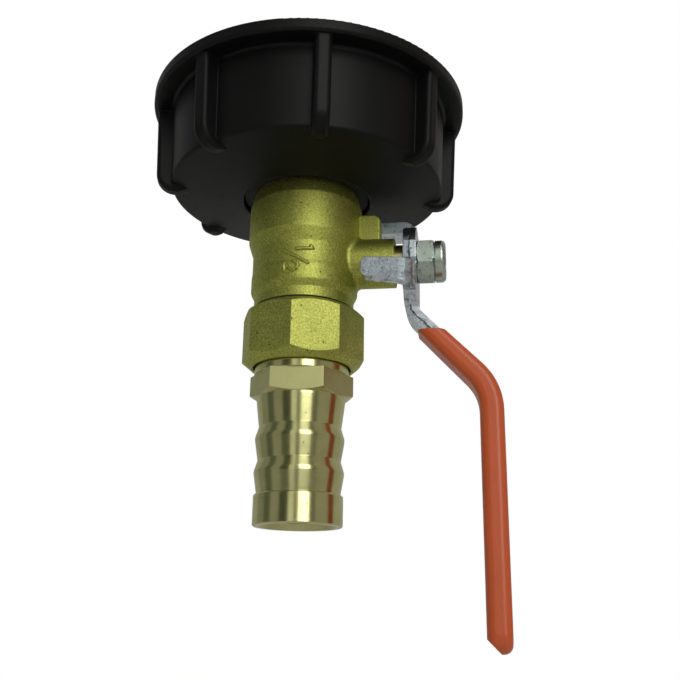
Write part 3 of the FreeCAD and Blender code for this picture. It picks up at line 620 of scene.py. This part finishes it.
@dataclass(frozen=True)
class WhitePolymer(Finish):
    """Turned seat plastic: waxy off-white with fine tool rings."""

    colour: Colour = (0.74, 0.73, 0.69)
    hazy: Colour = (0.60, 0.58, 0.52)
    haze_size: float = 1.8 * MM
    ring_size: float = 0.12 * MM
    ring_length: float = 30.0
    ring_depth: float = 0.004 * MM
    edge_radius: float = 0.1 * MM

    def surface(self, graph: Graph) -> Surface:
        """Build the nodes of this finish."""
        haze = graph.noise(self.haze_size, detail=3.0)
        rings = graph.noise(self.ring_size, stretch=(self.ring_length, self.ring_length, 1.0))
        colour = graph.mix(haze * 0.4, self.colour, self.hazy)
        normal = graph.bump(rings, self.ring_depth, graph.soft_edge(self.edge_radius))
        return Surface(colour, 0.42 + haze * 0.1, 0.0, normal, 0.45)


# ---------------------------------------------------------------- sub-assemblies

def dress(node: str, finish: Finish | bpy.types.Material) -> None:
    """Give a CAD node one material.

    Args:
        node: the node's name.
        finish: the finish, or a material already made from it.
    """
    material = finish.material() if isinstance(finish, Finish) else finish
    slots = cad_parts[node].data.materials
    slots.clear()
    slots.append(material)
    LOG.info("dressed %s with %s", node, material.name)


class Body(Enum):
    """The rigid bodies that added pieces ride on."""

    VALVE = "valve"


@dataclass
class Cap:
    """The black container cap with its gasket and washer."""

    plastic: MouldedPlastic = MouldedPlastic("moulded_black")
    rubber: Rubber = Rubber("seal_rubber")

    def build(self) -> None:
        """Dress the cap's nodes."""
        dress("cap_shell", self.plastic)
        rubber = self.rubber.material()
        for node in ("cap_gasket", "shoulder_washer", "tail_washer", "stem_o_ring", "body_seal"):
            dress(node, rubber)


@dataclass(frozen=True)
class Stroke:
    """One stroke of the raised mark: points as (across the character, up it), in mm."""

    points: tuple[tuple[float, float], ...]
    curved: bool = False


@dataclass
class SizeMark:
    """The raised size mark on the forged body, one over two, read from the top down; in mm."""

    top: float = -0.5
    stroke_width: float = 0.95
    stroke_height: float = 0.48
    buried: float = 0.25
    lean: float = 0.05
    spacing: float = 0.12
    fullness: float = 1.5
    least_tip: float = 0.02
    upper_radius: float = 12.6
    lower_radius: float = 12.75
    flare_top: float = -3.0
    flare_foot: float = -4.0
    strokes: tuple[Stroke, ...] = (
        Stroke(((0.1, -0.1), (-0.1, 4.1), (-1.0, 3.4))),
        Stroke(((3.8, 3.2), (-0.1, -3.2))),
        Stroke(((3.3, -2.7), (4.3, -2.0), (5.1, -1.2), (5.3, -0.5), (4.9, 0.2),
                (4.2, 0.5), (3.5, 0.2), (3.1, -0.3), (3.5, -0.6)), curved=True),
        Stroke(((2.9, -2.8), (5.7, -2.7))),
    )
    round_steps: int = 9
    curve_steps: int = 6

    def radius(self, height: float) -> float:
        """The body's own radius at a height from the stem's axis."""
        share = (self.flare_top - height) / (self.flare_top - self.flare_foot)
        return self.upper_radius + min(max(share, 0.0), 1.0) * (self.lower_radius - self.upper_radius)

    def path(self, stroke: Stroke) -> list[Vector]:
        """Lay a stroke's centre line on the body.

        Args:
            stroke: the stroke.

        Returns:
            Closely spaced points, each as (around the body, up it).
        """
        placed = [Vector((up + self.lean * across, self.top - across))
                  for across, up in stroke.points]
        if stroke.curved:
            placed = self.smoothed(placed)
        line = [placed[0]]
        for start, end in zip(placed, placed[1:]):
            count = max(1, math.ceil((end - start).length / self.spacing))
            line += [start.lerp(end, i / count) for i in range(1, count + 1)]
        return line

    def smoothed(self, points: list[Vector]) -> list[Vector]:
        """Draw a smooth curve through some points.

        Args:
            points: the points.

        Returns:
            Points along the curve.
        """
        line: list[Vector] = []
        padded = [points[0], *points, points[-1]]
        for p, q, r, s in zip(padded, padded[1:], padded[2:], padded[3:]):
            for i in range(self.curve_steps):
                t = i / self.curve_steps
                line.append(0.5 * ((2 * q) + (r - p) * t + (2 * p - 5 * q + 4 * r - s) * t * t
                                   + (3 * q - p - 3 * r + s) * t ** 3))
        line.append(points[-1])
        return line

    def ring(self, line: list[Vector], index: int) -> list[Vector]:
        """Draw the stroke's section at one point of its centre line.

        Args:
            line: the centre line.
            index: which of its points.

        Returns:
            The section's corners, on the body's surface, in metres.
        """
        ahead = line[min(index + 1, len(line) - 1)]
        behind = line[max(index - 1, 0)]
        run = (ahead - behind).normalized()
        side = Vector((-run.y, run.x))
        walked = min(index, len(line) - 1 - index) * self.spacing
        tip = min(1.0, walked / (self.stroke_width / 2))
        swell = math.sqrt(max(self.least_tip, 1.0 - (1.0 - tip) ** 2))
        ring = []
        for k in range(self.round_steps + 1):
            turn = math.pi * k / self.round_steps
            across = math.cos(turn) * swell * self.stroke_width / 2
            rise = math.sin(turn) ** self.fullness * swell * self.stroke_height
            ring.append(self.on_body(line[index] + side * across, rise))
        for turn in (math.pi, 0.0):
            across = math.cos(turn) * swell * self.stroke_width / 2
            ring.append(self.on_body(line[index] + side * across, -self.buried))
        return ring

    def on_body(self, point: Vector, rise: float) -> Vector:
        """Put a point of the mark on the body.

        Args:
            point: its place, as (around the body, up it).
            rise: how far it stands out of the body's surface.

        Returns:
            The point in the frame, in metres.
        """
        reach = self.radius(point.y) + rise
        turn = point.x / self.radius(point.y)
        return Vector((reach * math.sin(turn) * MM, -reach * math.cos(turn) * MM,
                       point.y * MM - STEM_DROP))

    def build(self, material: bpy.types.Material) -> None:
        """Build the mark as one mesh and fix it to the body.

        Args:
            material: the body's own material.
        """
        corners: list[Vector] = []
        faces: list[tuple[int, ...]] = []
        for stroke in self.strokes:
            line = self.path(stroke)
            first = len(corners)
            around = len(self.ring(line, 0))
            for index in range(len(line)):
                corners += self.ring(line, index)
            for index in range(len(line) - 1):
                for k in range(around):
                    here = first + index * around
                    after = (k + 1) % around
                    faces.append((here + k, here + after,
                                  here + around + after, here + around + k))
            faces.append(tuple(first + k for k in reversed(range(around))))
            last = first + (len(line) - 1) * around
            faces.append(tuple(last + k for k in range(around)))
        mark = new_mesh("size_mark", corners, faces, material)
        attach(mark, Body.VALVE.value)


@dataclass
class Valve:
    """The forged body, its end piece, ball and seats, with the raised size mark."""

    forged: BlastedBrass = BlastedBrass("blasted_brass")
    collar: BlastedBrass = BlastedBrass("blasted_collar", colour=(0.64, 0.66, 0.16))
    turned: TurnedBrass = TurnedBrass("turned_stem", axis=0, rough=0.22)
    chrome: Chrome = Chrome("ball_chrome")
    polymer: WhitePolymer = WhitePolymer("seat_polymer")
    mark: SizeMark = field(default_factory=SizeMark)

    def build(self) -> None:
        """Dress the valve's nodes and add the mark."""
        forged = self.forged.material()
        dress("valve_body", forged)
        dress("end_piece", self.collar)
        dress("ball", self.chrome)
        turned = self.turned.material()
        for node in ("stem", "packing_gland"):
            dress(node, turned)
        polymer = self.polymer.material()
        for node in ("inlet_seat", "outlet_seat", "thrust_washer", "stem_packing", "nut_insert"):
            dress(node, polymer)
        self.mark.build(forged)


@dataclass
class Lever:
    """The pressed lever with its dipped grip and lock nut."""

    steel: ZincSteel = ZincSteel("zinc_lever", shear=Shear())
    nut: ZincSteel = ZincSteel("zinc_nut", colour=(0.58, 0.66, 0.58), smoky=(0.16, 0.19, 0.15))
    vinyl: DippedVinyl = DippedVinyl("orange_vinyl")

    def build(self) -> None:
        """Dress the lever's nodes."""
        dress("lever", self.steel)
        dress("lever_nut", self.nut)
        dress("lever_grip", self.vinyl)


@dataclass
class HoseTail:
    """The turned hose tail."""

    seat_height: float = -66.9 * MM
    hexagon_top: float = 2.95 * MM
    hexagon_height: float = 5.4 * MM

    def build(self) -> None:
        """Dress the tail."""
        top = self.seat_height - self.hexagon_top
        finish = TurnedBrass("turned_tail", hexagon=Brushing(top - self.hexagon_height, top))
        dress("hose_tail", finish)


def new_mesh(name: str, corners: Sequence[Vector], faces: Sequence[Sequence[int]],
             material: bpy.types.Material) -> bpy.types.Object:
    """Make a smooth mesh object.

    Args:
        name: its name.
        corners: its points, in metres.
        faces: its faces, as places in corners.
        material: its material.

    Returns:
        The new object, linked into the scene.
    """
    mesh = bpy.data.meshes.new(name)
    mesh.from_pydata([tuple(c) for c in corners], [], [tuple(f) for f in faces])
    mesh.validate()
    mesh.shade_smooth()
    mesh.materials.append(material)
    made = bpy.data.objects.new(name, mesh)
    bpy.context.scene.collection.objects.link(made)
    return made


# ---------------------------------------------------------------- studio

@dataclass(frozen=True)
class Panel:
    """A soft panel of the room, as the valve sees it: angles in degrees."""

    turn: float
    half_width: float
    blur: float
    colour: Colour
    strength: float


@dataclass
class Studio:
    """Room light, lamps, floor and backdrop."""

    facing: float = -79.0
    room: Colour = (0.20, 0.20, 0.21)
    room_strength: float = 0.90
    panels: tuple[Panel, ...] = (
        Panel(-111.0, 17.0, 4.0, (0.96, 1.0, 0.98), 0.26),
        Panel(-84.0, 10.0, 3.0, (0.9, 1.0, 0.9), 0.12),
        Panel(-60.0, 13.0, 3.0, (1.0, 1.0, 0.95), 0.30),
        Panel(-36.0, 11.0, 3.0, (0.9, 1.0, 0.8), 0.07),
        Panel(-18.0, 6.0, 2.0, (1.0, 1.0, 0.95), 0.80),
        Panel(14.0, 13.0, 2.0, (1.0, 1.0, 0.98), 1.25),
        Panel(36.0, 8.0, 2.0, (1.0, 1.0, 0.95), 0.12),
        Panel(63.0, 18.0, 3.0, (1.0, 0.98, 0.92), 0.33),
        Panel(98.0, 15.0, 2.0, (1.0, 0.24, 0.12), 0.19),
        Panel(148.0, 31.0, 4.0, (1.0, 0.97, 0.92), 0.45),
    )
    key_turn: float = 14.0
    key_height: float = 20.0
    key_reach: float = 1.10
    key_size: tuple[float, float] = (0.50, 0.80)
    key_power: float = 2.6
    key_colour: Colour = (1.0, 0.99, 0.96)
    key_aim: Vector = field(default_factory=lambda: Vector((0.01, 0.0, -0.06)))
    floor_height: float = -0.60
    stage_reach: float = 2.6
    backdrop_away: float = 1.0
    curve: float = 0.4
    stage_steps: int = 10
    paper: tuple[Colour, Colour] = ((0.80, 0.80, 0.80), (0.84, 0.84, 0.84))
    fibre_size: float = 3.0 * MM
    wall_foot: float = 0.02

    def build(self) -> None:
        """Light the room and set the stage."""
        self.make_world()
        self.make_key()
        self.make_stage()

    def make_world(self) -> None:
        """A dim room with soft panels, white where the camera sees past it."""
        world = bpy.data.worlds.new("studio_room")
        world.use_nodes = True
        bpy.context.scene.world = world
        graph = Graph(world.node_tree)
        along, across, _ = graph.split(graph.node("ShaderNodeTexCoord", output="Generated"))
        turn = graph.node("ShaderNodeMath", {"operation": "ARCTAN2"}, {0: across, 1: along})
        turn = turn - math.radians(self.facing)
        turn = graph.node("ShaderNodeMath", {"operation": "WRAP"},
                          {0: turn, 1: math.pi, 2: -math.pi})
        colour: Colour | Sock = self.room
        for panel in self.panels:
            off = abs(turn - math.radians(panel.turn))
            share = off.step(math.radians(panel.half_width + panel.blur),
                             math.radians(panel.half_width))
            colour = graph.mix(share, colour, tuple(panel.strength * c for c in panel.colour))
        room = graph.node("ShaderNodeBackground", inputs={"Color": colour, "Strength": self.room_strength})
        plain = graph.node("ShaderNodeBackground", inputs={"Color": (1, 1, 1, 1), "Strength": 1.0})
        seen = graph.node("ShaderNodeLightPath", output="Is Camera Ray")
        mixed = graph.node("ShaderNodeMixShader", inputs={0: seen, 1: room, 2: plain})
        graph.node("ShaderNodeOutputWorld", inputs={"Surface": mixed})

    def make_key(self) -> None:
        """One large soft lamp in front of the valve."""
        lamp = bpy.data.lights.new("key_lamp", "AREA")
        lamp.shape = "RECTANGLE"
        lamp.size, lamp.size_y = self.key_size
        lamp.energy = self.key_power
        lamp.color = self.key_colour
        turn = math.radians(self.facing + self.key_turn)
        rise = math.radians(self.key_height)
        away = Vector((math.cos(turn) * math.cos(rise), math.sin(turn) * math.cos(rise),
                       math.sin(rise)))
        held = bpy.data.objects.new("key_lamp", lamp)
        held.location = self.key_aim + away * self.key_reach
        held.rotation_euler = (-away).to_track_quat("-Z", "Y").to_euler()
        bpy.context.scene.collection.objects.link(held)

    def make_stage(self) -> None:
        """A pale floor that curves up into a backdrop."""
        profile = [Vector((-self.stage_reach, self.floor_height))]
        bend = Vector((self.backdrop_away - self.curve, self.floor_height + self.curve))
        for i in range(self.stage_steps + 1):
            turn = math.pi / 2 * i / self.stage_steps
            profile.append(bend + Vector((math.sin(turn), -math.cos(turn))) * self.curve)
        profile.append(Vector((self.backdrop_away, self.stage_reach)))
        corners = [Vector((side * self.stage_reach, point.x, point.y))
                   for point in profile for side in (-1, 1)]
        faces = [(2 * i, 2 * i + 1, 2 * i + 3, 2 * i + 2) for i in range(len(profile) - 1)]
        new_mesh("studio_stage", corners, faces, self.stage_material())

    def stage_material(self) -> bpy.types.Material:
        """Make the stage's pale matt paper.

        Returns:
            Paper that the camera sees as white on the wall, and that keeps shadows on the floor.
        """
        made = bpy.data.materials.new("stage_paper")
        made.use_nodes = True
        graph = Graph(made.node_tree)
        fibre = graph.noise(self.fibre_size, detail=3.0)
        paper = graph.mix(fibre, *self.paper)
        matt = graph.node("ShaderNodeBsdfDiffuse", inputs={"Color": paper})
        white = graph.node("ShaderNodeEmission", inputs={"Color": (1, 1, 1, 1), "Strength": 1.0})
        seen = graph.node("ShaderNodeLightPath", output="Is Camera Ray")
        up = graph.split(graph.place())[2]
        wall = up.step(self.floor_height + self.wall_foot, self.floor_height + self.curve)
        mixed = graph.node("ShaderNodeMixShader",
                           inputs={0: seen * wall, 1: matt, 2: white})
        graph.node("ShaderNodeOutputMaterial", inputs={"Surface": mixed})
        return made


@dataclass
class StudioCamera:
    """The camera: below the cap, looking up at the valve."""

    place: Vector = field(default_factory=lambda: Vector((38.16, -196.33, -123.21)) * MM)
    look: Vector = field(default_factory=lambda: Vector((-0.1407, 0.9436, 0.2997)))
    roll: float = 0.97
    lens: float = 46.84
    sensor: float = 36.0
    nearest: float = 0.01

    def build(self) -> None:
        """Make the camera and use it."""
        ahead = self.look.normalized()
        level = ahead.cross(Vector((0.0, 0.0, 1.0))).normalized()
        above = level.cross(ahead)
        turn = math.radians(self.roll)
        right = level * math.cos(turn) + above * math.sin(turn)
        up = above * math.cos(turn) - level * math.sin(turn)
        data = bpy.data.cameras.new("studio_camera")
        data.lens = self.lens
        data.sensor_width = self.sensor
        data.clip_start = self.nearest
        held = bpy.data.objects.new("studio_camera", data)
        rotation = Matrix((right, up, -ahead)).transposed().to_4x4()
        held.matrix_world = Matrix.Translation(self.place) @ rotation
        bpy.context.scene.collection.objects.link(held)
        bpy.context.scene.camera = held


def main() -> None:
    """Build every sub-assembly in order."""
    logging.basicConfig(level=logging.INFO, format="%(name)s: %(message)s")
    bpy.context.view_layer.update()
    bpy.context.scene.view_settings.view_transform = "Standard"
    StudioCamera().build()
    Studio().build()
    for assembly in (Cap(), Valve(), Lever(), HoseTail()):
        assembly.build()
        LOG.info("built %s", type(assembly).__name__)


if __name__ == "__main__":
    main()
